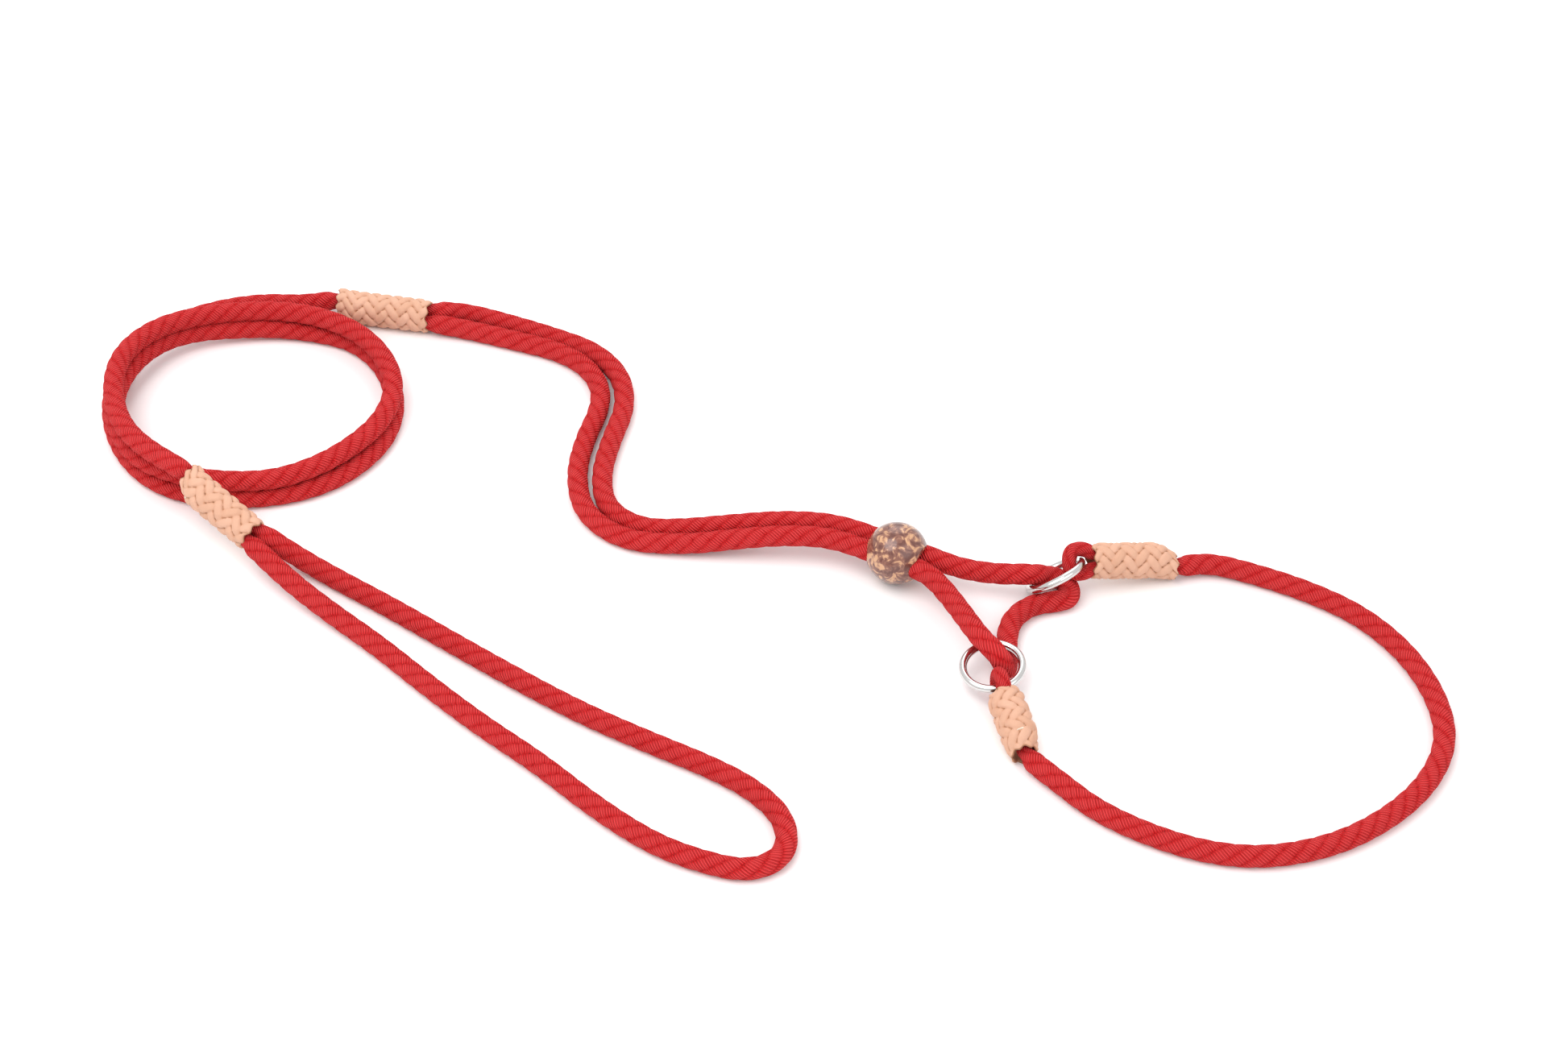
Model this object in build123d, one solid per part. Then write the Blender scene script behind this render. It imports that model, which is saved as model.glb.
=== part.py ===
from build123d import *
import math
import os

os.makedirs("parts", exist_ok=True)

# Main sizes in mm. +Z is up, the floor is z = 0, and the origin is the middle
# of the bead, rings and leather wraps, seen from above.
ROPE_D = 8.0
BEAD_D = 25.4
RING_INNER_D = 20.2
RING_WIRE_D = 3.2
WRAP_SIDE_WALL = 0.8
WRAP_FACE_WALL = 3.6

# Sizes that follow from them.
ROPE_R = ROPE_D / 2
NECK_R = 0.725 * ROPE_R  # rope squeezed inside a wrap or round a ring
NECK_RUN = 0.8 * ROPE_D  # length over which it swells back to full size
NECK_STEP = 0.55 * NECK_RUN  # from the mouth to where it starts to swell
STRAND_OFFSET = NECK_R + 0.1  # from a wrap's axis to each strand's
SEIZING_WALL = 0.4
SEIZING_INSET = 6.0  # from each mouth of the wrap
CAVITY_WIDTH = 2 * (STRAND_OFFSET + NECK_R + SEIZING_WALL)
CAVITY_THICKNESS = 2 * (NECK_R + SEIZING_WALL)
TAIL_INSET = 5.0  # rope end to the wrap's single-rope mouth
RING_WIRE_R = RING_WIRE_D / 2
RING_R = RING_INNER_D / 2 + RING_WIRE_R
ROPE_RING_GAP = 0.5
EYE_R = RING_WIRE_R + ROPE_RING_GAP + NECK_R
EYE_REACH = EYE_R - 0.9  # mouth of the wrap to the middle of its eye
BEAD_BORE_GAP = 0.5
BEAD_STRAND_OFFSET = ROPE_R + 0.1
BEAD_FLAT_SHARE = 0.86  # flat faces at this share of the radius
ARC_SHARE = 0.45  # of the shorter run at each bend
MIN_TURN = 0.2  # degrees; straighter than this is left as it is

# Wrap axes from the mouth with two strands to the mouth with one rope, and
# the side on which the strand that carries on lies.
HANDLE_WRAP = ((-171.4, -23.4, 13.5), (-200.7, -1.6, 25.0), (0.6, 0.8, 0.25))
SPLICE_WRAP = ((-111.7, 122.2, 7.0), (-153.1, 129.9, 7.0), (0, 0.94, 0.34))
FAR_WRAP = ((168.6, -37.6, 13.1), (203.6, -31.3, 7.5), (0, -0.695, -0.719))
NEAR_WRAP = ((130.4, -107.6, 8.8), (137.0, -135.2, 7.6), (0, 0, -1))

# The way from each eye's middle to its ring's middle, and the way the ring faces.
FAR_RING = ((-0.881, -0.328, -0.340), (-0.464, 0.465, 0.754))
NEAR_RING = ((-0.240, 0.971, 0.015), (-0.099, -0.040, 0.994))

# Bead middle and the way the two strands pass through it.
BEAD_MIDDLE = (90.5, -32.5, 12.7)
BEAD_AXIS = (0.891, -0.454, 0.000)

# Free routes of the ropes, without the points at the wraps' mouths.
HAND_LOOP = [
    (-152.5, -28.8, 6.0), (-135.2, -39.8, 4.0), (-112.6, -55.4, 4.0), (-87.5, -74.2, 4.0),
    (-60.6, -93.9, 4.0), (-34.5, -112.0, 4.0), (-8.9, -126.7, 4.0), (16.1, -139.9, 4.0),
    (33.5, -151.7, 4.0), (45.4, -166.6, 4.0), (46.0, -183.9, 4.0), (32.0, -192.4, 4.0),
    (11.5, -186.2, 4.0), (-6.1, -177.2, 4.0), (-27.7, -159.4, 4.0), (-49.0, -138.3, 4.0),
    (-72.2, -119.1, 4.0), (-95.2, -97.4, 4.0), (-116.1, -76.4, 4.0), (-135.2, -60.4, 5.0),
    (-154.5, -44.3, 8.0),
]
COIL = [
    (-169.8, 134.0, 4.0), (-186.1, 135.1, 4.0), (-202.5, 131.8, 4.0), (-217.1, 125.7, 4.0),
    (-231.8, 116.3, 4.0), (-241.8, 100.1, 4.0), (-245.6, 78.8, 4.0), (-242.7, 55.5, 4.0),
    (-233.7, 34.7, 4.0), (-219.5, 18.8, 4.0), (-201.5, 10.5, 4.0), (-181.1, 8.5, 4.0),
    (-161.3, 11.4, 4.0), (-144.6, 19.3, 4.0), (-131.4, 32.7, 4.0), (-123.1, 49.8, 4.0),
    (-122.2, 71.0, 4.0), (-129.8, 93.1, 4.0), (-144.0, 108.7, 4.0), (-160.5, 114.7, 4.0),
    (-178.4, 116.8, 5.0), (-197.6, 115.1, 6.0), (-214.7, 111.1, 7.5), (-228.9, 101.2, 9.5),
    (-238.2, 83.5, 11.5), (-241.7, 63.4, 12.1), (-237.8, 43.0, 12.1), (-225.8, 24.0, 12.1),
    (-206.9, 14.1, 12.1), (-187.0, 10.2, 12.1), (-167.0, 11.2, 12.1), (-149.6, 20.0, 12.1),
    (-135.7, 32.9, 12.1), (-125.3, 48.6, 12.1), (-121.6, 68.1, 12.1), (-127.5, 88.1, 12.1),
    (-140.2, 104.2, 13.0), (-157.9, 115.0, 13.0), (-178.0, 120.0, 12.5), (-197.2, 118.3, 13.0),
    (-213.9, 112.7, 15.0), (-229.7, 102.2, 17.0), (-240.1, 84.4, 19.0), (-241.4, 63.1, 20.2),
    (-234.8, 38.7, 21.5), (-222.4, 20.6, 23.0),
]
LONG_LOOP = [
    (-95.8, 128.4, 4.0), (-73.8, 119.6, 4.0), (-55.6, 111.4, 4.0), (-38.1, 102.2, 4.0),
    (-25.9, 86.2, 4.0), (-23.1, 65.8, 4.0), (-28.5, 45.3, 4.0), (-32.3, 22.7, 4.0),
    (-29.1, 2.2, 4.0), (-14.3, -9.6, 4.0), (4.0, -10.6, 5.0), (23.8, -12.0, 9.0),
    (44.8, -13.6, 12.7), (65.8, -15.3, 12.7), (85.3, -25.1, 12.7), (104.4, -35.0, 12.7),
    (115.4, -41.0, 12.4), (129.8, -44.0, 12.1), (142.8, -45.0, 13.1), (151.4, -39.8, 7.1),
    (159.5, -40.0, 4.0), (160.8, -50.2, 4.0), (152.1, -52.1, 4.2), (143.4, -53.9, 4.1),
    (135.0, -62.7, 4.0), (132.8, -77.6, 4.0), (133.0, -91.4, 4.0), (128.8, -92.2, 15.6),
    (122.0, -83.9, 16.5), (118.6, -76.1, 15.6), (114.6, -65.6, 13.6), (109.3, -54.1, 12.6),
    (102.0, -43.0, 12.7), (81.6, -32.4, 12.7), (63.6, -23.3, 12.7), (43.8, -22.2, 12.7),
    (24.1, -20.8, 9.0), (4.2, -19.8, 5.0), (-20.8, -16.8, 4.0), (-38.3, -0.7, 4.0),
    (-42.8, 22.7, 4.0), (-39.8, 45.3, 4.0), (-34.4, 63.2, 4.0), (-34.3, 78.8, 4.0),
    (-42.0, 93.1, 4.0), (-55.1, 102.8, 4.0), (-73.2, 109.3, 4.0), (-95.0, 116.9, 4.0),
]
COLLAR = [
    (217.8, -30.2, 5.0), (235.7, -35.7, 4.0), (256.1, -45.4, 4.0), (275.8, -59.0, 4.0),
    (291.1, -79.1, 4.0), (299.7, -102.6, 4.0), (300.8, -126.3, 4.0), (290.8, -147.7, 4.0),
    (273.6, -165.4, 4.0), (250.9, -179.2, 4.0), (225.2, -185.4, 4.0), (203.0, -183.1, 4.0),
    (181.2, -174.1, 4.0), (162.2, -161.8, 4.0), (149.3, -148.1, 4.5),
]


def unit(v):
    return v / v.length


def wrap_frame(wrap):
    """Start, axis, side and length of a wrap."""
    start, end = Vector(*wrap[0]), Vector(*wrap[1])
    axis = unit(end - start)
    side = Vector(*wrap[2])
    side = unit(side - axis * side.dot(axis))
    return start, axis, side, (end - start).length


def strand_point(wrap, along, sign):
    """Point on one of a wrap's two strands, `along` mm from its open mouth."""
    start, axis, side, _ = wrap_frame(wrap)
    return start + axis * along + side * (sign * STRAND_OFFSET)


def wrap_length(wrap):
    return wrap_frame(wrap)[3]


def wrap_plane(wrap, along):
    start, axis, side, _ = wrap_frame(wrap)
    return Plane(origin=start + axis * along, x_dir=side, z_dir=axis)


def tube(points, radius):
    """Round tube along straight runs joined by tangent arcs; prints their radii."""
    points = [Vector(p) if isinstance(p, Vector) else Vector(*p) for p in points]
    radii = []
    for a, b, c in zip(points, points[1:], points[2:]):
        turn = math.radians(max((b - a).get_angle(c - b), MIN_TURN))
        shorter = min((b - a).length, (c - b).length)
        radii.append(ARC_SHARE * shorter / math.tan(turn / 2))
    path = FilletPolyline(*points, radius=radii) if radii else Line(*points)
    print("bend radii", [round(bend, 1) for bend in radii])
    start = Plane(origin=points[0], z_dir=path % 0)
    return sweep(start * Circle(radius), path=path)


def neck(mouth, beyond):
    """Cone from squeezed rope at a mouth to full rope, and where it ends."""
    way = unit(beyond - mouth)
    end = mouth + way * NECK_RUN
    base = mouth + way * NECK_STEP
    small = (NECK_R + ROPE_R) / 2
    cone = loft([
        Plane(origin=base, z_dir=way) * Circle(small),
        Plane(origin=end, z_dir=way) * Circle(ROPE_R),
    ])
    return cone, end, way


def span(mouth_a, points, mouth_b):
    """Full-size rope between two mouths: its solids and the ends of its necks."""
    points = [Vector(*p) for p in points]
    cone_a, start, way_a = neck(mouth_a, points[0])
    cone_b, end, way_b = neck(mouth_b, points[-1])
    body = tube([start, *points, end], ROPE_R)
    inset = NECK_RUN / 8
    return [cone_a, cone_b, body], start + way_a * inset, end + way_b * inset


def strands(wrap, open_ends, closed_end):
    """The two squeezed strands in a wrap, each reaching into its own neck."""
    length = wrap_length(wrap)
    through = tube(
        [open_ends[0], strand_point(wrap, 0, 1), strand_point(wrap, length, 1), closed_end],
        NECK_R,
    )
    tail = tube(
        [open_ends[1], strand_point(wrap, 0, -1), strand_point(wrap, length - TAIL_INSET, -1)],
        NECK_R,
    )
    return [through, tail]


def eye(wrap, closed_end):
    """Squeezed rope from the single-rope end, round the ring and back to its tail."""
    start, axis, side, length = wrap_frame(wrap)
    legs = [(0, STRAND_OFFSET), (-0.5 * EYE_REACH, EYE_R), (-EYE_REACH - EYE_R, EYE_R)]
    loop = [start + axis * x + side * y for x, y in legs]
    back = [start + axis * x - side * y for x, y in reversed(legs)]
    tail = strand_point(wrap, length - TAIL_INSET, -1)
    route = [closed_end, strand_point(wrap, length, 1), *loop, *back, tail]
    return tube(route, NECK_R)


def make_lead_rope():
    """Hand loop, coil and long doubled loop: one rope from tail to tail."""
    hand_len, splice_len = wrap_length(HANDLE_WRAP), wrap_length(SPLICE_WRAP)
    hand, hand_a, hand_b = span(
        strand_point(HANDLE_WRAP, 0, 1), HAND_LOOP, strand_point(HANDLE_WRAP, 0, -1)
    )
    coil, coil_a, coil_b = span(
        strand_point(SPLICE_WRAP, splice_len, 1), COIL, strand_point(HANDLE_WRAP, hand_len, 1)
    )
    loop, loop_a, loop_b = span(
        strand_point(SPLICE_WRAP, 0, 1), LONG_LOOP, strand_point(SPLICE_WRAP, 0, -1)
    )
    in_handle = strands(HANDLE_WRAP, (hand_a, hand_b), coil_b)
    in_splice = strands(SPLICE_WRAP, (loop_a, loop_b), coil_a)
    pieces = [*hand, *coil, *loop, *in_handle, *in_splice]
    return fuse_all(pieces)


def make_collar_rope():
    """Collar loop with a small eye at each end."""
    collar, far_end, near_end = span(
        strand_point(FAR_WRAP, wrap_length(FAR_WRAP), 1),
        COLLAR,
        strand_point(NEAR_WRAP, wrap_length(NEAR_WRAP), 1),
    )
    return fuse_all([*collar, eye(FAR_WRAP, far_end), eye(NEAR_WRAP, near_end)])


def fuse_all(pieces):
    whole = pieces[0]
    for piece in pieces[1:]:
        whole = whole + piece
    return whole


def make_wrap(wrap):
    """Leather sleeve over two strands and the seizing between them."""
    plane = wrap_plane(wrap, 0)
    outer = Ellipse(CAVITY_WIDTH / 2 + WRAP_SIDE_WALL, CAVITY_THICKNESS / 2 + WRAP_FACE_WALL)
    profile = outer - cavity_profile()
    return extrude(plane * profile, amount=wrap_length(wrap))


def cavity_profile():
    return SlotOverall(CAVITY_WIDTH, CAVITY_THICKNESS)


def make_seizing(wrap):
    """Thread bound round both strands, filling the leather's inside."""
    plane = wrap_plane(wrap, SEIZING_INSET)
    hull = SlotOverall(2 * (STRAND_OFFSET + NECK_R), 2 * NECK_R)
    length = wrap_length(wrap) - 2 * SEIZING_INSET
    return extrude(plane * (cavity_profile() - hull), amount=length)


def make_ring(wrap, ring):
    """Round ring whose wire passes through the middle of the wrap's eye."""
    start, axis, _, _ = wrap_frame(wrap)
    middle = start - axis * EYE_REACH + unit(Vector(*ring[0])) * RING_R
    return Plane(origin=middle, z_dir=ring[1]) * Torus(RING_R, RING_WIRE_R)


def make_bead():
    """Ball with two flats and one oval bore for both strands."""
    half = BEAD_FLAT_SHARE * BEAD_D / 2
    bore_w = 2 * (BEAD_STRAND_OFFSET + ROPE_R + BEAD_BORE_GAP)
    bore_t = 2 * (ROPE_R + BEAD_BORE_GAP)
    bore = extrude(SlotOverall(bore_w, bore_t), amount=BEAD_D, both=True)
    ball = Sphere(BEAD_D / 2) & Box(BEAD_D, BEAD_D, 2 * half)
    side = Vector(0, 0, 1).cross(Vector(*BEAD_AXIS))
    return Plane(origin=BEAD_MIDDLE, x_dir=side, z_dir=BEAD_AXIS) * (ball - bore)


def make_parts():
    parts = {"lead_rope": make_lead_rope(), "collar_rope": make_collar_rope()}
    wraps = {
        "handle": HANDLE_WRAP,
        "splice": SPLICE_WRAP,
        "far_collar": FAR_WRAP,
        "near_collar": NEAR_WRAP,
    }
    for name, wrap in wraps.items():
        parts[name + "_wrap"] = make_wrap(wrap)
        parts[name + "_seizing"] = make_seizing(wrap)
    parts["far_ring"] = make_ring(FAR_WRAP, FAR_RING)
    parts["near_ring"] = make_ring(NEAR_WRAP, NEAR_RING)
    parts["bead"] = make_bead()
    return parts


for node, shape in make_parts().items():
    export_step(shape, f"parts/{node}.step")
print("rope radius", ROPE_R, "squeezed", NECK_R)
print("ring radius", RING_R, "wire", RING_WIRE_R, "eye radius", EYE_R)
print("bead radius", BEAD_D / 2)
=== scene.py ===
import math

import bpy
import numpy as np
from bpy.props import FloatProperty, FloatVectorProperty, IntProperty, PointerProperty
from bpy.types import Operator, Panel, PropertyGroup
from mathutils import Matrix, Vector


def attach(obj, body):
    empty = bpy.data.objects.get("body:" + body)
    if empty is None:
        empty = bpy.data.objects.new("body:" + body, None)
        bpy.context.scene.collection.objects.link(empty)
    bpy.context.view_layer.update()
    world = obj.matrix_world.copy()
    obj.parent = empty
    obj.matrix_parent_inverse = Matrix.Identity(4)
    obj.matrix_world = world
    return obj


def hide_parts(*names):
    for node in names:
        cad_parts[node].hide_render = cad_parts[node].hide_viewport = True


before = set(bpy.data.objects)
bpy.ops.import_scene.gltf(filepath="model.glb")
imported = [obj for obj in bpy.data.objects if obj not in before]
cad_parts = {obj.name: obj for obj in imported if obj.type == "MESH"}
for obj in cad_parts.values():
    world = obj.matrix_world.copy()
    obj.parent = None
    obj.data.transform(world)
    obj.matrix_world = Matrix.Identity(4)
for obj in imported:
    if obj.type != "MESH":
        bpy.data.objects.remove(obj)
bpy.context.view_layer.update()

bl_info = {
    "name": "Rope Halter",
    "version": (1, 0, 0),
    "blender": (4, 5, 0),
    "location": "3D Viewport > Sidebar > Halter",
    "description": "Braided rope halter with plaited leather wraps, steel rings and a wooden bead",
    "category": "Object",
}

# Two ends of each leather wrap, in metres: the mouth with two strands, the mouth with one
# rope, and the side on which the strand that carries on lies.
HANDLE_WRAP = ((-0.1714, -0.0234, 0.0135), (-0.2007, -0.0016, 0.0250), (0.6, 0.8, 0.25))
SPLICE_WRAP = ((-0.1117, 0.1222, 0.0070), (-0.1531, 0.1299, 0.0070), (0, 0.94, 0.34))
FAR_WRAP = ((0.1686, -0.0376, 0.0131), (0.2036, -0.0313, 0.0075), (0, -0.695, -0.719))
NEAR_WRAP = ((0.1304, -0.1076, 0.0088), (0.1370, -0.1352, 0.0076), (0, 0, -1))

HAND_LOOP = np.array([
    (-0.1525, -0.0288, 0.0060), (-0.1352, -0.0398, 0.0040), (-0.1126, -0.0554, 0.0040),
    (-0.0875, -0.0742, 0.0040), (-0.0606, -0.0939, 0.0040), (-0.0345, -0.1120, 0.0040),
    (-0.0089, -0.1267, 0.0040), (0.0161, -0.1399, 0.0040), (0.0335, -0.1517, 0.0040),
    (0.0454, -0.1666, 0.0040), (0.0460, -0.1839, 0.0040), (0.0320, -0.1924, 0.0040),
    (0.0115, -0.1862, 0.0040), (-0.0061, -0.1772, 0.0040), (-0.0277, -0.1594, 0.0040),
    (-0.0490, -0.1383, 0.0040), (-0.0722, -0.1191, 0.0040), (-0.0952, -0.0974, 0.0040),
    (-0.1161, -0.0764, 0.0040), (-0.1352, -0.0604, 0.0050), (-0.1545, -0.0443, 0.0080),
])

COIL = np.array([
    (-0.1698, 0.1340, 0.0040), (-0.1861, 0.1351, 0.0040), (-0.2025, 0.1318, 0.0040),
    (-0.2171, 0.1257, 0.0040), (-0.2318, 0.1163, 0.0040), (-0.2418, 0.1001, 0.0040),
    (-0.2456, 0.0788, 0.0040), (-0.2427, 0.0555, 0.0040), (-0.2337, 0.0347, 0.0040),
    (-0.2195, 0.0188, 0.0040), (-0.2015, 0.0105, 0.0040), (-0.1811, 0.0085, 0.0040),
    (-0.1613, 0.0114, 0.0040), (-0.1446, 0.0193, 0.0040), (-0.1314, 0.0327, 0.0040),
    (-0.1231, 0.0498, 0.0040), (-0.1222, 0.0710, 0.0040), (-0.1298, 0.0931, 0.0040),
    (-0.1440, 0.1087, 0.0040), (-0.1605, 0.1147, 0.0040), (-0.1784, 0.1168, 0.0050),
    (-0.1976, 0.1151, 0.0060), (-0.2147, 0.1111, 0.0075), (-0.2289, 0.1012, 0.0095),
    (-0.2382, 0.0835, 0.0115), (-0.2417, 0.0634, 0.0121), (-0.2378, 0.0430, 0.0121),
    (-0.2258, 0.0240, 0.0121), (-0.2069, 0.0141, 0.0121), (-0.1870, 0.0102, 0.0121),
    (-0.1670, 0.0112, 0.0121), (-0.1496, 0.0200, 0.0121), (-0.1357, 0.0329, 0.0121),
    (-0.1253, 0.0486, 0.0121), (-0.1216, 0.0681, 0.0121), (-0.1275, 0.0881, 0.0121),
    (-0.1402, 0.1042, 0.0130), (-0.1579, 0.1150, 0.0130), (-0.1780, 0.1200, 0.0125),
    (-0.1972, 0.1183, 0.0130), (-0.2139, 0.1127, 0.0150), (-0.2297, 0.1022, 0.0170),
    (-0.2401, 0.0844, 0.0190), (-0.2414, 0.0631, 0.0202), (-0.2348, 0.0387, 0.0215),
    (-0.2224, 0.0206, 0.0230),
])

LONG_LOOP = np.array([
    (-0.0958, 0.1284, 0.0040), (-0.0738, 0.1196, 0.0040), (-0.0556, 0.1114, 0.0040),
    (-0.0381, 0.1022, 0.0040), (-0.0259, 0.0862, 0.0040), (-0.0231, 0.0658, 0.0040),
    (-0.0285, 0.0453, 0.0040), (-0.0323, 0.0227, 0.0040), (-0.0291, 0.0022, 0.0040),
    (-0.0143, -0.0096, 0.0040), (0.0040, -0.0106, 0.0050), (0.0238, -0.0120, 0.0090),
    (0.0448, -0.0136, 0.0127), (0.0658, -0.0153, 0.0127), (0.0853, -0.0251, 0.0127),
    (0.1044, -0.0350, 0.0127), (0.1154, -0.0410, 0.0124), (0.1298, -0.0440, 0.0121),
    (0.1428, -0.0450, 0.0131), (0.1514, -0.0398, 0.0071), (0.1595, -0.0400, 0.0040),
    (0.1608, -0.0502, 0.0040), (0.1521, -0.0521, 0.0042), (0.1434, -0.0539, 0.0041),
    (0.1350, -0.0627, 0.0040), (0.1328, -0.0776, 0.0040), (0.1330, -0.0914, 0.0040),
    (0.1288, -0.0922, 0.0156), (0.1220, -0.0839, 0.0165), (0.1186, -0.0761, 0.0156),
    (0.1146, -0.0656, 0.0136), (0.1093, -0.0541, 0.0126), (0.1020, -0.0430, 0.0127),
    (0.0816, -0.0324, 0.0127), (0.0636, -0.0233, 0.0127), (0.0438, -0.0222, 0.0127),
    (0.0241, -0.0208, 0.0090), (0.0042, -0.0198, 0.0050), (-0.0208, -0.0168, 0.0040),
    (-0.0383, -0.0007, 0.0040), (-0.0428, 0.0227, 0.0040), (-0.0398, 0.0453, 0.0040),
    (-0.0344, 0.0632, 0.0040), (-0.0343, 0.0788, 0.0040), (-0.0420, 0.0931, 0.0040),
    (-0.0551, 0.1028, 0.0040), (-0.0732, 0.1093, 0.0040), (-0.0950, 0.1169, 0.0040),
])

COLLAR = np.array([
    (0.2178, -0.0302, 0.0050), (0.2357, -0.0357, 0.0040), (0.2561, -0.0454, 0.0040),
    (0.2758, -0.0590, 0.0040), (0.2911, -0.0791, 0.0040), (0.2997, -0.1026, 0.0040),
    (0.3008, -0.1263, 0.0040), (0.2908, -0.1477, 0.0040), (0.2736, -0.1654, 0.0040),
    (0.2509, -0.1792, 0.0040), (0.2252, -0.1854, 0.0040), (0.2030, -0.1831, 0.0040),
    (0.1812, -0.1741, 0.0040), (0.1622, -0.1618, 0.0040), (0.1493, -0.1481, 0.0045),
])

NECK_RADIUS = 0.0029
STRAND_OFFSET = 0.0030
EYE_RADIUS = 0.0050
EYE_REACH = 0.0041
TAIL_INSET = 0.005
HAND_LENGTH, COIL_LENGTH, LONG_LENGTH, COLLAR_LENGTH = 0.578, 0.955, 0.854, 0.375
HIDDEN = 0.009  # rope inside a wrap, beyond its mouth
NECK_RUN = 0.0064
ROPE_FLOOR_GAP = 0.00004
WRAP_FLOOR_GAP = 0.00003
LINE_RESOLUTION = 16  # points of a line for each of its controls
RIDGE_MEAN = 0.70  # height of a band that lies at the rope's own radius
LACE_MEAN = 0.75  # height of a lace that lies at the wrap's own size
WEAVE_STEEPNESS = 1.4
WEAVE_SHARE = 0.34  # part of a lace's height that comes from passing over and under
SECOND_FAMILY = 100  # added to a lace's number in the family that winds the other way


# ---------------------------------------------------------------- lines and frames


def wrap_frame(wrap):
    """Start, unit axis, unit side and length of a wrap."""
    start, end = np.array(wrap[0]), np.array(wrap[1])
    length = np.linalg.norm(end - start)
    axis = (end - start) / length
    side = np.array(wrap[2], dtype=float)
    side -= axis * side.dot(axis)
    return start, axis, side / np.linalg.norm(side), length


def strand_point(wrap, along, sign):
    """Point on one of the two strands in a wrap, `along` metres from its open mouth."""
    start, axis, side, _ = wrap_frame(wrap)
    return start + axis * along + side * (sign * STRAND_OFFSET)


def closed_mouth(wrap, along=0.0):
    """Point on the strand that carries on, `along` metres outside the closed mouth."""
    return strand_point(wrap, wrap_frame(wrap)[3] + along, 1)


def nurbs_line(name, controls):
    """Points of one open NURBS line of order 3 that starts and ends on its end controls."""
    curve = bpy.data.curves.new(name, "CURVE")
    curve.dimensions = "3D"
    spline = curve.splines.new("NURBS")
    spline.points.add(len(controls) - 1)
    weighted = np.column_stack([controls, np.ones(len(controls))])
    spline.points.foreach_set("co", weighted.ravel())
    spline.order_u = 3
    spline.use_endpoint_u = True
    spline.resolution_u = LINE_RESOLUTION
    holder = bpy.data.objects.new(name, curve)
    mesh = bpy.data.meshes.new_from_object(holder)
    points = np.empty(3 * len(mesh.vertices))
    mesh.vertices.foreach_get("co", points)
    bpy.data.objects.remove(holder)
    bpy.data.curves.remove(curve)
    bpy.data.meshes.remove(mesh)
    return points.reshape(-1, 3)


def evenly(points, step):
    """The same line with points a fixed step apart, by straight interpolation over length."""
    run = np.r_[0, np.cumsum(np.linalg.norm(np.diff(points, axis=0), axis=1))]
    along = np.linspace(0, run[-1], int(round(run[-1] / step)) + 1)
    return np.column_stack([np.interp(along, run, points[:, k]) for k in range(3)]), along


def smoothed(points, times=6):
    """Each inner point moved to the mean of itself and its neighbours, a few times over."""
    points = points.copy()
    for _ in range(times):
        points[1:-1] = (points[:-2] + 2 * points[1:-1] + points[2:]) / 4
    return points


def carried_frames(points):
    """Normal and binormal at each point, turning as little as the line allows.
    Each step takes out of the last normal its part along the new tangent."""
    tangents = np.gradient(points, axis=0)
    tangents /= np.linalg.norm(tangents, axis=1)[:, None]
    normal = np.cross(tangents[0], (0.0, 0.0, 1.0))
    if np.linalg.norm(normal) < 0.1:
        normal = np.cross(tangents[0], (0.0, 1.0, 0.0))
    normals = np.empty_like(points)
    for k, tangent in enumerate(tangents):
        normal = normal - tangent * normal.dot(tangent)
        normal /= np.linalg.norm(normal)
        normals[k] = normal
    return normals, np.cross(tangents, normals)


# ---------------------------------------------------------------- braid and mesh


def braid(p, q):
    """Height 0 to 1 of two crossing families of laces, and the number of the top lace.
    Laces of the first family keep p, those of the second keep q. Each lace's middle rises
    and falls as a cosine along it, cut flat at the top and the bottom, over two others and
    under two others, and its cross-section is a flattened dome."""
    i, j = np.floor(p), np.floor(q)
    first = np.clip(WEAVE_STEEPNESS * np.cos(0.5 * math.pi * (q - i)), -1, 1)
    second = -np.clip(WEAVE_STEEPNESS * np.cos(0.5 * math.pi * (p - j - 1)), -1, 1)
    dome_a = 1 - np.abs(2 * (p - i) - 1) ** 3
    dome_b = 1 - np.abs(2 * (q - j) - 1) ** 3
    high_a = WEAVE_SHARE * first + (1 - WEAVE_SHARE) * np.sqrt(dome_a)
    high_b = WEAVE_SHARE * second + (1 - WEAVE_SHARE) * np.sqrt(dome_b)
    height = np.clip(np.maximum(high_a, high_b), 0, 1)
    return height, np.where(high_a >= high_b, i, SECOND_FAMILY + j)


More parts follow.
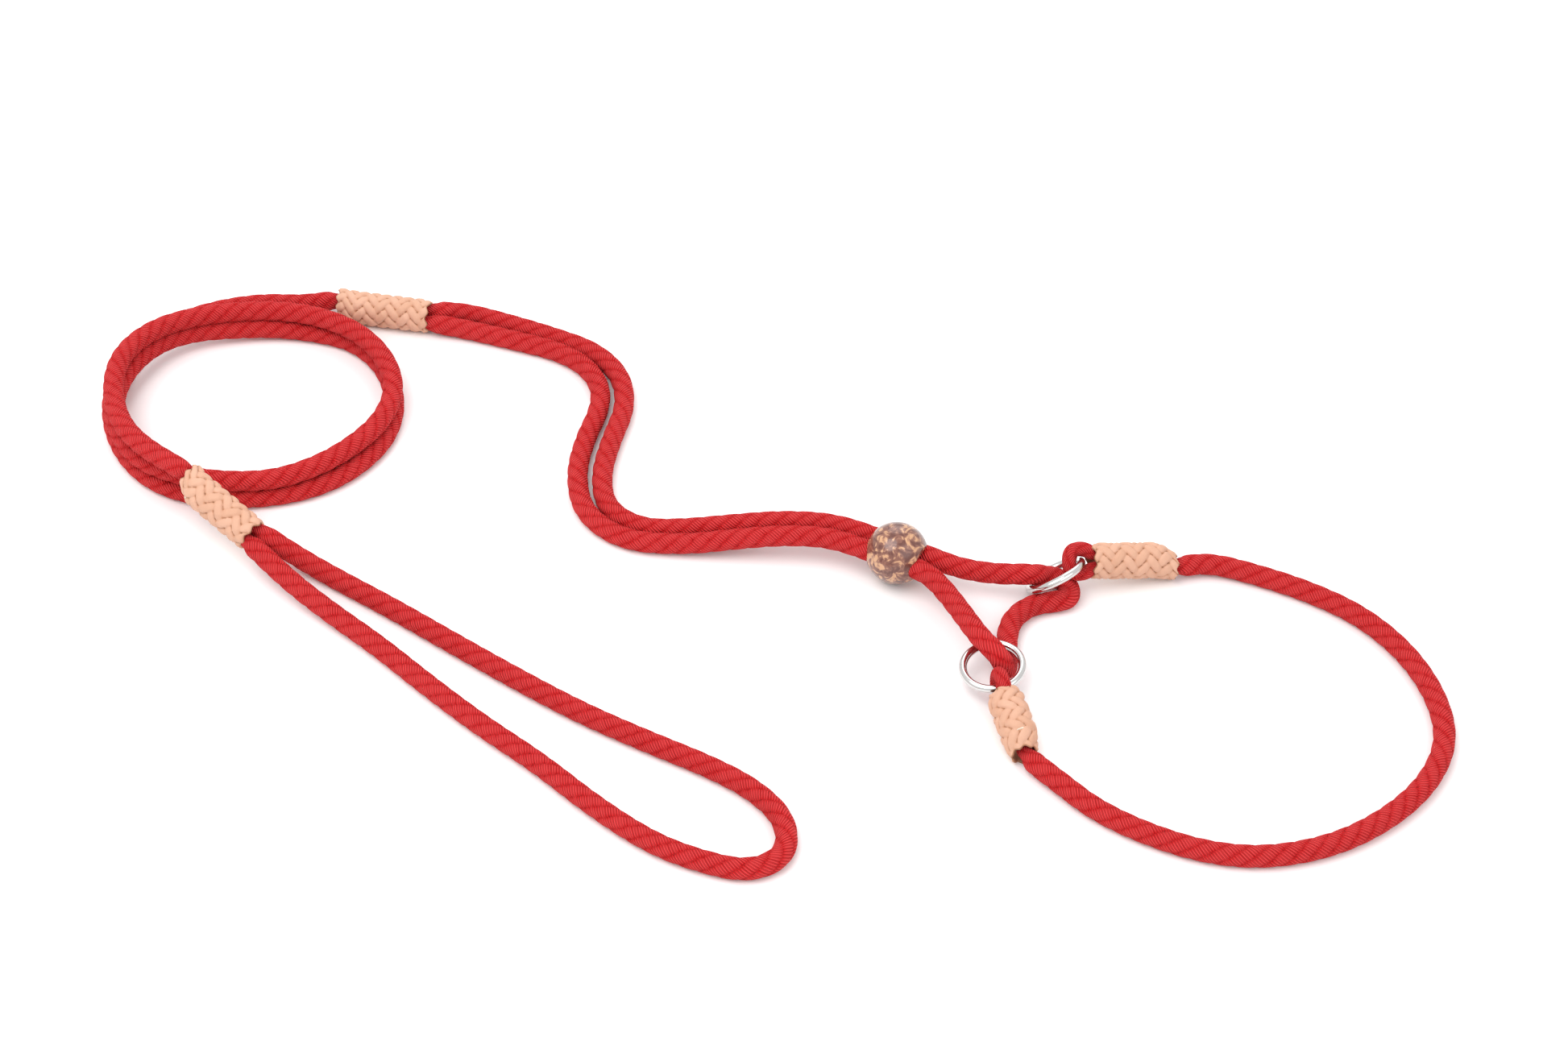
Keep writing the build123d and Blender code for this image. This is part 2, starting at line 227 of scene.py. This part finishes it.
def tube_mesh(name, grid, coordinates, values):
    """Closed tube from a grid of rings, each a row, with a pole at the middle of each end
    row. `coordinates` are two pattern numbers per grid point with one extra column, and
    `values` are named numbers per grid point."""
    rows, columns = grid.shape[:2]
    first, last = grid[0].mean(axis=0), grid[-1].mean(axis=0)
    vertices = np.vstack([grid.reshape(-1, 3), first, last])
    r, c = np.meshgrid(np.arange(rows - 1), np.arange(columns), indexing="ij")
    n = (c + 1) % columns
    quads = np.stack([r * columns + c, r * columns + n, (r + 1) * columns + n, (r + 1) * columns + c], -1)
    quads = quads.reshape(-1, 4)
    ring = np.arange(columns)
    after = (ring + 1) % columns
    start_pole, end_pole = rows * columns, rows * columns + 1
    base = (rows - 1) * columns
    start_fan = np.stack([np.full(columns, start_pole), after, ring], -1)
    end_fan = np.stack([np.full(columns, end_pole), base + ring, base + after], -1)
    mesh = bpy.data.meshes.new(name)
    mesh.from_pydata(vertices.tolist(), [], quads.tolist() + start_fan.tolist() + end_fan.tolist())
    uv = mesh.uv_layers.new(name="Lay")
    quad_uv = np.stack([
        coordinates[:-1, :-1], coordinates[:-1, 1:], coordinates[1:, 1:], coordinates[1:, :-1]
    ], axis=2).reshape(-1, 2)
    start_uv = np.stack([coordinates[0, :-1], coordinates[0, 1:], coordinates[0, :-1]], 1).reshape(-1, 2)
    end_uv = np.stack([coordinates[-1, :-1], coordinates[-1, :-1], coordinates[-1, 1:]], 1).reshape(-1, 2)
    uv.data.foreach_set("uv", np.vstack([quad_uv, start_uv, end_uv]).ravel())
    for key, value in values.items():
        flat = np.r_[value.ravel(), value[0].mean(), value[-1].mean()]
        layer = mesh.attributes.new(key, "FLOAT", "POINT")
        layer.data.foreach_set("value", flat.astype(np.float32))
    mesh.shade_smooth()
    piece = bpy.data.objects.new(name, mesh)
    bpy.context.scene.collection.objects.link(piece)
    return piece


def angles(columns):
    """Angles round a ring with the first one repeated at the end."""
    return np.linspace(0, 2 * math.pi, columns + 1)


# ---------------------------------------------------------------- rope


def rope_radius(along, length, settings, neck_start, neck_end):
    """Full radius along the rope, eased down to the squeezed one at each bound end."""
    def ease(x):
        x = np.clip(x, 0, 1)
        return x * x * (3 - 2 * x)

    rise = ease((along - HIDDEN + 0.001) / NECK_RUN) if neck_start else np.ones_like(along)
    fall = ease((length - along - HIDDEN + 0.001) / NECK_RUN) if neck_end else np.ones_like(along)
    full = settings.radius
    return NECK_RADIUS + (full - NECK_RADIUS) * np.minimum(rise, fall)


def rope_surface(name, points, radius, settings):
    """Braided rope: at length s and angle t the surface lies at the rope's radius plus a
    rounded ridge over each of a few broad bands that wind round it one way. The pattern
    numbers are the band count, and the count of the thin yarns that cross it the other way."""
    line, along = evenly(points, settings.step)
    line = smoothed(line)
    normal, binormal = carried_frames(line)
    turn = angles(settings.columns)
    share = turn[None, :] / (2 * math.pi)
    p = settings.bands * share + along[:, None] / settings.band_pitch
    q = settings.yarns * share - along[:, None] / settings.yarn_pitch
    across = 2 * (p - np.floor(p)) - 1
    height = np.sqrt(1 - np.abs(across[:, :-1]) ** 2.6)
    size = radius(along, along[-1])[:, None]
    reach = size + settings.relief * (height - RIDGE_MEAN) * size / settings.radius
    t = turn[None, :-1, None]
    outward = np.cos(t) * normal[:, None] + np.sin(t) * binormal[:, None]
    grid = line[:, None] + reach[..., None] * outward
    grid[..., 2] = np.maximum(grid[..., 2], ROPE_FLOOR_GAP)
    lay = np.stack([p, q], axis=-1)
    piece = tube_mesh(name, grid, lay, {"height": height})
    return piece, line


def bound_rope(name, start, route, end, settings):
    """Rope that leaves one bound mouth, follows its free route and enters another.
    `start` and `end` are each a point inside the wrap and the point at its mouth."""
    controls = np.vstack([start, route, end[::-1]])
    points = nurbs_line(name, controls)

    def radius(along, length):
        return rope_radius(along, length, settings, True, True)

    return rope_surface(name, points, radius, settings)


def declare_cord(piece, node):
    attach(piece, "halter")
    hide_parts(node)


def open_ends(wrap, sign):
    return [strand_point(wrap, HIDDEN, sign), strand_point(wrap, 0, sign)]


def closed_ends(wrap):
    return [closed_mouth(wrap, -HIDDEN), closed_mouth(wrap)]


def eye_route(wrap):
    """Squeezed rope out of the open mouth, round the ring and back, both ends hidden."""
    start, axis, side, _ = wrap_frame(wrap)
    legs = [
        (HIDDEN, STRAND_OFFSET),
        (0, STRAND_OFFSET),
        (-0.5 * EYE_REACH, EYE_RADIUS),
        (-EYE_REACH - EYE_RADIUS, EYE_RADIUS),
    ]
    out = [start + axis * x + side * y for x, y in legs]
    back = [start + axis * x - side * y for x, y in reversed(legs)]
    return np.array(out + back)


# ---------------------------------------------------------------- materials


def node_links(material):
    material.use_nodes = True
    tree = material.node_tree
    return tree.nodes, tree.links, tree.nodes["Principled BSDF"]


def math_node(nodes, links, kind, first, second=None, third=None):
    node = nodes.new("ShaderNodeMath")
    node.operation = kind
    for socket, value in zip(node.inputs, (first, second, third)):
        if value is None:
            continue
        if isinstance(value, (int, float)):
            socket.default_value = value
        else:
            links.new(value, socket)
    return node.outputs[0]


def mix_colour(nodes, links, factor, first, second, blend="MIX"):
    node = nodes.new("ShaderNodeMix")
    node.data_type = "RGBA"
    node.blend_type = blend
    for key, value in ((0, factor), (6, first), (7, second)):
        socket = node.inputs[key]
        if isinstance(value, (int, float)):
            socket.default_value = value
        elif isinstance(value, (tuple, list)):
            socket.default_value = (*value[:3], 1.0)
        else:
            links.new(value, socket)
    return node.outputs[2]


def yarn_group():
    """Node group: thin yarns that cross the rope's broad bands, out of step from band to
    band. One value is each yarn's rounded height, the other a tone that varies by yarn."""
    group = bpy.data.node_groups.new("Rope Yarns", "ShaderNodeTree")
    face = group.interface
    face.new_socket("Break", in_out="INPUT", socket_type="NodeSocketFloat")
    face.new_socket("Height", in_out="OUTPUT", socket_type="NodeSocketFloat")
    face.new_socket("Tone", in_out="OUTPUT", socket_type="NodeSocketFloat")
    nodes, links = group.nodes, group.links
    inputs, outputs = nodes.new("NodeGroupInput"), nodes.new("NodeGroupOutput")
    lay = nodes.new("ShaderNodeUVMap")
    lay.uv_map = "Lay"
    split = nodes.new("ShaderNodeSeparateXYZ")
    links.new(lay.outputs[0], split.inputs[0])
    band = math_node(nodes, links, "FLOOR", split.outputs[0])
    yarn = math_node(nodes, links, "MULTIPLY_ADD", band, inputs.outputs["Break"], split.outputs[1])
    wave = math_node(nodes, links, "SINE", math_node(nodes, links, "MULTIPLY", yarn, 2 * math.pi))
    links.new(math_node(nodes, links, "MULTIPLY_ADD", wave, 0.5, 0.5), outputs.inputs[0])
    pick = nodes.new("ShaderNodeCombineXYZ")
    links.new(math_node(nodes, links, "FLOOR", yarn), pick.inputs[0])
    links.new(band, pick.inputs[1])
    tone = nodes.new("ShaderNodeTexWhiteNoise")
    tone.noise_dimensions = "2D"
    links.new(pick.outputs[0], tone.inputs["Vector"])
    links.new(tone.outputs["Value"], outputs.inputs[1])
    return group


def place_group(nodes, group, **values):
    node = nodes.new("ShaderNodeGroup")
    node.node_tree = group
    for key, value in values.items():
        node.inputs[key].default_value = value
    return node


def attribute(nodes, name):
    node = nodes.new("ShaderNodeAttribute")
    node.attribute_name = name
    return node.outputs["Fac"]


def ramp(nodes, links, value, stops):
    node = nodes.new("ShaderNodeValToRGB")
    links.new(value, node.inputs[0])
    while len(node.color_ramp.elements) < len(stops):
        node.color_ramp.elements.new(0.5)
    for element, (at, colour) in zip(node.color_ramp.elements, stops):
        element.position = at
        element.color = (*colour, 1.0)
    return node.outputs[0]


def bump(nodes, links, height, strength, distance):
    node = nodes.new("ShaderNodeBump")
    node.inputs["Strength"].default_value = strength
    node.inputs["Distance"].default_value = distance
    links.new(height, node.inputs["Height"])
    return node.outputs[0]


def noise(nodes, links, scale, detail=3.0, rough=0.5, distortion=0.0):
    place = nodes.new("ShaderNodeTexCoord")
    node = nodes.new("ShaderNodeTexNoise")
    links.new(place.outputs["Object"], node.inputs["Vector"])
    node.inputs["Scale"].default_value = scale
    node.inputs["Detail"].default_value = detail
    node.inputs["Roughness"].default_value = rough
    node.inputs["Distortion"].default_value = distortion
    return node.outputs[0]


def rope_material(settings, yarns):
    """Dyed cord: painted shade between the bands and between the yarns, a painted highlight on the band
    crowns, thin yarns across them, each a little different.
    """
    material = bpy.data.materials.new("Red Cord")
    nodes, links, shader = node_links(material)
    rise = attribute(nodes, "height")
    yarn = place_group(nodes, yarns, Break=0.37)
    # By band height: painted shade in the grooves, the rope colour on the flanks, painted highlight on the
    # crowns.
    tone = ramp(nodes, links, rise, [
        (0.05, tuple(settings.groove_shade_colour)),
        (0.60, tuple(settings.colour)),
        (1.0, tuple(settings.crown_highlight_colour)),
    ])
    # Painted shade between the yarns.
    gap = math_node(nodes, links, "MULTIPLY_ADD", yarn.outputs["Height"], -1.3, 0.95)
    gap = math_node(nodes, links, "MAXIMUM", gap, 0.0)
    tone = mix_colour(nodes, links, gap, tone, tuple(settings.groove_shade_colour))
    light = math_node(nodes, links, "MULTIPLY", yarn.outputs["Tone"], 0.40)
    tone = mix_colour(nodes, links, light, tone, tuple(settings.crown_highlight_colour))
    links.new(tone, shader.inputs["Base Color"])
    shader.inputs["Roughness"].default_value = 0.75
    shader.inputs["Specular IOR Level"].default_value = 0.12
    shader.inputs["Sheen Weight"].default_value = 0.05
    shader.inputs["Sheen Tint"].default_value = (1.0, 0.4, 0.38, 1.0)
    links.new(bump(nodes, links, yarn.outputs["Height"], 1.0, 0.0011), shader.inputs["Normal"])
    return material


def leather_material(settings):
    """Vegetable-tanned lace: tan crowns, painted shade in the slits and at the mouths, each lace a little
    different.
    """
    material = bpy.data.materials.new("Tan Lace")
    nodes, links, shader = node_links(material)
    rise = attribute(nodes, "height")
    # By lace height: painted shade in the slits, the edge colour on the lace flanks, tan on the crowns.
    tone = ramp(nodes, links, rise, [
        (0.30, tuple(settings.slit_shade_colour)),
        (0.50, tuple(settings.edge_colour)),
        (0.66, tuple(settings.colour)),
    ])
    lace = attribute(nodes, "lace")
    worn = math_node(nodes, links, "MULTIPLY", lace, 0.4)
    tone = mix_colour(nodes, links, worn, tone, tuple(settings.edge_colour))
    stain = math_node(nodes, links, "MULTIPLY", noise(nodes, links, 260.0, 4.0), 0.35)
    tone = mix_colour(nodes, links, stain, tone, tuple(settings.edge_colour))
    links.new(tone, shader.inputs["Base Color"])
    shader.inputs["Roughness"].default_value = 0.62
    shader.inputs["Specular IOR Level"].default_value = 0.35
    grain = noise(nodes, links, 1500.0, 3.0)
    links.new(bump(nodes, links, grain, 0.3, 0.0002), shader.inputs["Normal"])
    return material


def bead_material(settings):
    """Polished mottled wood: dark ground with tan blotches under a clear coat."""
    material = bpy.data.materials.new("Mottled Bead")
    nodes, links, shader = node_links(material)
    patches = noise(nodes, links, 230.0, 3.0, 0.55, 1.2)
    tone = ramp(nodes, links, patches, [
        (0.40, tuple(settings.bead_ground)),
        (0.53, tuple(settings.bead_middle)),
        (0.60, tuple(settings.bead_blotch)),
    ])
    links.new(tone, shader.inputs["Base Color"])
    shader.inputs["Roughness"].default_value = 0.22
    shader.inputs["Coat Weight"].default_value = 0.35
    shader.inputs["Coat Roughness"].default_value = 0.08
    return material


def steel_material(settings):
    material = bpy.data.materials.new("Polished Steel")
    nodes, links, shader = node_links(material)
    shader.inputs["Base Color"].default_value = (*settings.ring_colour, 1.0)
    shader.inputs["Metallic"].default_value = 1.0
    wear = ramp(nodes, links, noise(nodes, links, 700.0, 4.0), [(0.3, (0.12,) * 3), (0.7, (0.24,) * 3)])
    links.new(wear, shader.inputs["Roughness"])
    return material


def give(piece, material):
    piece.data.materials.clear()
    piece.data.materials.append(material)


# ---------------------------------------------------------------- leather wraps


def wrap_surface(name, wrap, settings, phase):
    """Plaited sleeve: at height s and angle t the surface lies on the wrap's oval plus a
    relief of two families of flat laces that pass over two and under two. The rows of the
    profile run from inside one mouth, over the rim, along the outside and into the other,
    and near the closed mouth the oval shrinks towards the rope that leaves it."""
    start, axis, side, length = wrap_frame(wrap)
    up = np.cross(axis, side)
    body = np.linspace(0.0008, length - 0.0008, int(length / 0.00035))
    rim = np.array([[0.0026, 0.80], [0.0012, 0.82], [0.0004, 0.86], [0.0001, 0.93], [0.0003, 0.97]])
    stations = np.r_[rim[:, 0], body, length - rim[::-1, 0]]
    scale = np.r_[rim[:, 1], np.ones(len(body)), rim[::-1, 1]]
    inner = np.r_[np.zeros(len(rim)), np.ones(len(body)), np.zeros(len(rim))]
    turn = angles(settings.columns)
    p = settings.laces * turn[None, :] / (2 * math.pi) + stations[:, None] / settings.pitch + phase
    q = settings.laces * turn[None, :] / (2 * math.pi) - stations[:, None] / settings.pitch
    height, number = braid(p[:, :-1], q[:, :-1])
    taper = np.clip((stations - (length - settings.taper)) / settings.taper, 0, 1) ** 1.5
    opening = np.clip(1 - stations / 0.004, 0, 1) ** 2
    shrink = 1 - 0.26 * taper - 0.10 * opening
    shift = STRAND_OFFSET * 0.9 * taper
    t = turn[None, :-1]
    scallop = settings.scallop * np.cos(settings.laces * t)
    near_end = np.exp(-np.minimum(stations, length - stations) / 0.0022)[:, None]
    outward = np.where(stations < length / 2, -1.0, 1.0)[:, None]
    along = stations[:, None] + outward * near_end * scallop
    relief = settings.relief * (height - LACE_MEAN) * inner[:, None]
    wide = (settings.width / 2 * shrink * scale)[:, None] + relief
    thick = (settings.thickness / 2 * shrink * scale)[:, None] + relief
    grid = (
        start
        + axis * along[..., None]
        + side * (wide * np.cos(t) + shift[:, None])[..., None]
        + up * (thick * np.sin(t))[..., None]
    )
    grid[..., 2] = np.maximum(grid[..., 2], WRAP_FLOOR_GAP)
    # Rim and mouth rows get a fixed low value: painted shade at the mouths.
    shade = np.where(inner[:, None] > 0, height, 0.35)
    lace = np.mod(np.sin(number * 12.9898 + 4.1) * 43758.5453, 1.0)
    return tube_mesh(name, grid, np.stack([p, q], -1), {"height": shade, "lace": lace})


# ---------------------------------------------------------------- settings


class HalterRopeSettings(PropertyGroup):
    radius: FloatProperty(name="Radius", description="Rope radius", default=0.00415, unit="LENGTH")
    relief: FloatProperty(
        name="Relief",
        description="Depth of the valleys between bands",
        default=0.0006,
        unit="LENGTH",
    )
    band_pitch: FloatProperty(
        name="Band Pitch",
        description="Rope length from band to band",
        default=0.00775,
        unit="LENGTH",
    )
    yarn_pitch: FloatProperty(
        name="Yarn Pitch",
        description="Rope length from yarn to yarn",
        default=0.0015,
        unit="LENGTH",
    )
    step: FloatProperty(
        name="Step",
        description="Length between rings of the mesh",
        default=0.00055,
        unit="LENGTH",
    )
    bands: IntProperty(name="Bands", description="Broad bands round the rope", default=4)
    yarns: IntProperty(name="Yarns", description="Thin yarns round the rope", default=18)
    columns: IntProperty(name="Columns", description="Mesh points round the rope", default=48)
    colour: FloatVectorProperty(
        name="Colour",
        description="Rope colour",
        subtype="COLOR",
        default=(0.86, 0.013, 0.017),
    )
    # Painted shade: darker colour put in the grooves between the bands and between the yarns.
    groove_shade_colour: FloatVectorProperty(
        name="Grooves",
        description="Colour between strands",
        subtype="COLOR",
        default=(0.52, 0.004, 0.006),
    )
    # Painted highlight: lighter colour put on the crowns of the bands.
    crown_highlight_colour: FloatVectorProperty(
        name="Crowns",
        description="Colour on top of strands",
        subtype="COLOR",
        default=(0.95, 0.064, 0.068),
    )


class HalterLeatherSettings(PropertyGroup):
    width: FloatProperty(name="Width", description="Wide way across a wrap", default=0.0140, unit="LENGTH")
    thickness: FloatProperty(
        name="Thickness",
        description="Narrow way across a wrap",
        default=0.0138,
        unit="LENGTH",
    )
    relief: FloatProperty(
        name="Relief",
        description="Depth of the slits between laces",
        default=0.0020,
        unit="LENGTH",
    )
    pitch: FloatProperty(
        name="Pitch",
        description="Length of one lace crossing",
        default=0.0050,
        unit="LENGTH",
    )
    taper: FloatProperty(
        name="Taper",
        description="Length over which the closed end narrows",
        default=0.009,
        unit="LENGTH",
    )
    scallop: FloatProperty(
        name="Scallop",
        description="How far the laces stand out at the ends",
        default=0.0006,
        unit="LENGTH",
    )
    laces: IntProperty(name="Laces", description="Laces winding each way", default=7)
    columns: IntProperty(name="Columns", description="Mesh points round a wrap", default=144)
    colour: FloatVectorProperty(
        name="Colour",
        description="Lace colour",
        subtype="COLOR",
        default=(0.68, 0.40, 0.285),
    )
    edge_colour: FloatVectorProperty(
        name="Edges",
        description="Colour at the lace edges",
        subtype="COLOR",
        default=(0.52, 0.26, 0.15),
    )
    # Painted shade: dark colour put in the slits between the laces and at the wrap mouths.
    slit_shade_colour: FloatVectorProperty(
        name="Slits",
        description="Colour in the slits",
        subtype="COLOR",
        default=(0.12, 0.045, 0.022),
    )


class HalterTrimSettings(PropertyGroup):
    bead_ground: FloatVectorProperty(
        name="Bead Ground",
        description="Dark wood",
        subtype="COLOR",
        default=(0.13, 0.042, 0.030),
    )
    bead_middle: FloatVectorProperty(
        name="Bead Middle",
        description="Middle wood",
        subtype="COLOR",
        default=(0.26, 0.11, 0.075),
    )
    bead_blotch: FloatVectorProperty(
        name="Bead Blotches",
        description="Light wood",
        subtype="COLOR",
        default=(0.60, 0.33, 0.18),
    )
    ring_colour: FloatVectorProperty(
        name="Rings",
        description="Steel colour",
        subtype="COLOR",
        default=(0.66, 0.65, 0.64),
    )
    floor_colour: FloatVectorProperty(
        name="Floor",
        description="Floor colour",
        subtype="COLOR",
        default=(0.93, 0.93, 0.93),
    )


# ---------------------------------------------------------------- operators


class HALTER_OT_camera(Operator):
    """Camera that looks down on the halter from the hand loop's side"""

    bl_idname = "halter.camera"
    bl_label = "Camera"

    def execute(self, context):
        data = bpy.data.cameras.new("Camera")
        data.lens = 71.9
        data.sensor_width = 36.0
        data.clip_start = 0.01
        data.clip_end = 20.0
        camera = bpy.data.objects.new("Camera", data)
        camera.location = (0.0448, -0.9367, 0.9031)
        look = Vector((0.0448, -0.0016, 0.0)) - camera.location
        camera.rotation_euler = look.to_track_quat("-Z", "Y").to_euler()
        context.scene.collection.objects.link(camera)
        context.scene.camera = camera
        return {"FINISHED"}


class HALTER_OT_ropes(Operator):
    """Braided ropes: hand loop, coil, long doubled loop, collar and the two ring eyes"""

    bl_idname = "halter.ropes"
    bl_label = "Ropes"

    def execute(self, context):
        settings = context.scene.halter_rope
        material = rope_material(settings, yarn_group())
        hand = open_ends(HANDLE_WRAP, 1), HAND_LOOP, open_ends(HANDLE_WRAP, -1)
        coil = closed_ends(SPLICE_WRAP), COIL, closed_ends(HANDLE_WRAP)
        long_loop = open_ends(SPLICE_WRAP, 1), LONG_LOOP, open_ends(SPLICE_WRAP, -1)
        collar = closed_ends(FAR_WRAP), COLLAR, closed_ends(NEAR_WRAP)
        runs = [
            ("hand_loop", hand, HAND_LENGTH, "lead_rope"),
            ("coil", coil, COIL_LENGTH, "lead_rope"),
            ("long_loop", long_loop, LONG_LENGTH, "lead_rope"),
            ("collar", collar, COLLAR_LENGTH, "collar_rope"),
        ]
        for name, (start, route, end), length, node in runs:
            piece, line = bound_rope(name + "_braid", start, route, end, settings)
            give(piece, material)
            declare_cord(piece, node)
        for name, wrap in (("far_eye", FAR_WRAP), ("near_eye", NEAR_WRAP)):
            points = nurbs_line(name, eye_route(wrap))
            piece, _ = rope_surface(name + "_braid", points, eye_radius, settings)
            give(piece, material)
            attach(piece, "halter")
            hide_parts("collar_rope")
        return {"FINISHED"}


def eye_radius(along, length):
    """Rope squeezed evenly round a ring."""
    return np.full_like(along, NECK_RADIUS)


class HALTER_OT_wraps(Operator):
    """Plaited leather wraps that bind the doubled rope"""

    bl_idname = "halter.wraps"
    bl_label = "Leather Wraps"

    def execute(self, context):
        settings = context.scene.halter_leather
        material = leather_material(settings)
        wraps = {
            "handle": HANDLE_WRAP,
            "splice": SPLICE_WRAP,
            "far_collar": FAR_WRAP,
            "near_collar": NEAR_WRAP,
        }
        for k, (name, wrap) in enumerate(wraps.items()):
            piece = wrap_surface(name + "_plait", wrap, settings, 0.25 * k)
            give(piece, material)
            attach(piece, "halter")
            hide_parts(name + "_wrap")
        return {"FINISHED"}


class HALTER_OT_trim(Operator):
    """Finishes of the sliding bead and the two steel rings"""

    bl_idname = "halter.trim"
    bl_label = "Bead and Rings"

    def execute(self, context):
        settings = context.scene.halter_trim
        give(bpy.data.objects["bead"], bead_material(settings))
        steel = steel_material(settings)
        for name in ("far_ring", "near_ring"):
            give(bpy.data.objects[name], steel)
        return {"FINISHED"}


class HALTER_OT_stage(Operator):
    """Plain pale floor and soft studio lights"""

    bl_idname = "halter.stage"
    bl_label = "Floor and Lights"

    def execute(self, context):
        colour = context.scene.halter_trim.floor_colour
        mesh = bpy.data.meshes.new("floor")
        half = 6.0
        corners = [(-half, -half, 0), (half, -half, 0), (half, half, 0), (-half, half, 0)]
        mesh.from_pydata(corners, [], [(0, 1, 2, 3)])
        floor = bpy.data.objects.new("floor", mesh)
        context.scene.collection.objects.link(floor)
        material = bpy.data.materials.new("Pale Floor")
        _, _, shader = node_links(material)
        shader.inputs["Base Color"].default_value = (*colour, 1.0)
        shader.inputs["Roughness"].default_value = 0.9
        shader.inputs["Specular IOR Level"].default_value = 0.1
        give(floor, material)
        lamps = [
            ("key", (-0.5, -0.3, 1.3), 1.2, 11.5),
            ("fill", (0.9, -0.9, 1.1), 1.4, 5.0),
            ("back", (0.1, 1.2, 1.0), 1.2, 5.0),
        ]
        for name, place, size, power in lamps:
            data = bpy.data.lights.new(name, "AREA")
            data.shape = "DISK"
            data.size = size
            data.energy = power
            lamp = bpy.data.objects.new(name, data)
            lamp.location = place
            lamp.rotation_euler = (-Vector(place)).to_track_quat("-Z", "Y").to_euler()
            context.scene.collection.objects.link(lamp)
        world = bpy.data.worlds.new("Studio")
        world.use_nodes = True
        world.node_tree.nodes["Background"].inputs[0].default_value = (1.0, 1.0, 1.0, 1.0)
        world.node_tree.nodes["Background"].inputs[1].default_value = 0.92
        context.scene.world = world
        context.scene.view_settings.view_transform = "Standard"
        return {"FINISHED"}


class HALTER_PT_panel(Panel):
    """Sidebar panel that lists the halter's operators and settings"""

    bl_idname = "HALTER_PT_panel"
    bl_label = "Rope Halter"
    bl_space_type = "VIEW_3D"
    bl_region_type = "UI"
    bl_category = "Halter"

    def draw(self, context):
        for operator in OPERATORS:
            self.layout.operator(operator.bl_idname)
        for group in (context.scene.halter_rope, context.scene.halter_leather, context.scene.halter_trim):
            box = self.layout.box()
            for key in group.bl_rna.properties.keys():
                if key not in ("rna_type", "name"):
                    box.prop(group, key)


OPERATORS = [HALTER_OT_camera, HALTER_OT_ropes, HALTER_OT_wraps, HALTER_OT_trim, HALTER_OT_stage]
GROUPS = {
    "halter_rope": HalterRopeSettings,
    "halter_leather": HalterLeatherSettings,
    "halter_trim": HalterTrimSettings,
}


def register():
    for kind in (*GROUPS.values(), *OPERATORS, HALTER_PT_panel):
        bpy.utils.register_class(kind)
    for key, kind in GROUPS.items():
        setattr(bpy.types.Scene, key, PointerProperty(type=kind))


def unregister():
    for key in GROUPS:
        delattr(bpy.types.Scene, key)
    for kind in (HALTER_PT_panel, *reversed(OPERATORS), *reversed(GROUPS.values())):
        bpy.utils.unregister_class(kind)


def main():
    register()
    bpy.ops.halter.camera()
    bpy.ops.halter.ropes()
    bpy.ops.halter.wraps()
    bpy.ops.halter.trim()
    bpy.ops.halter.stage()


if __name__ == "__main__":
    main()
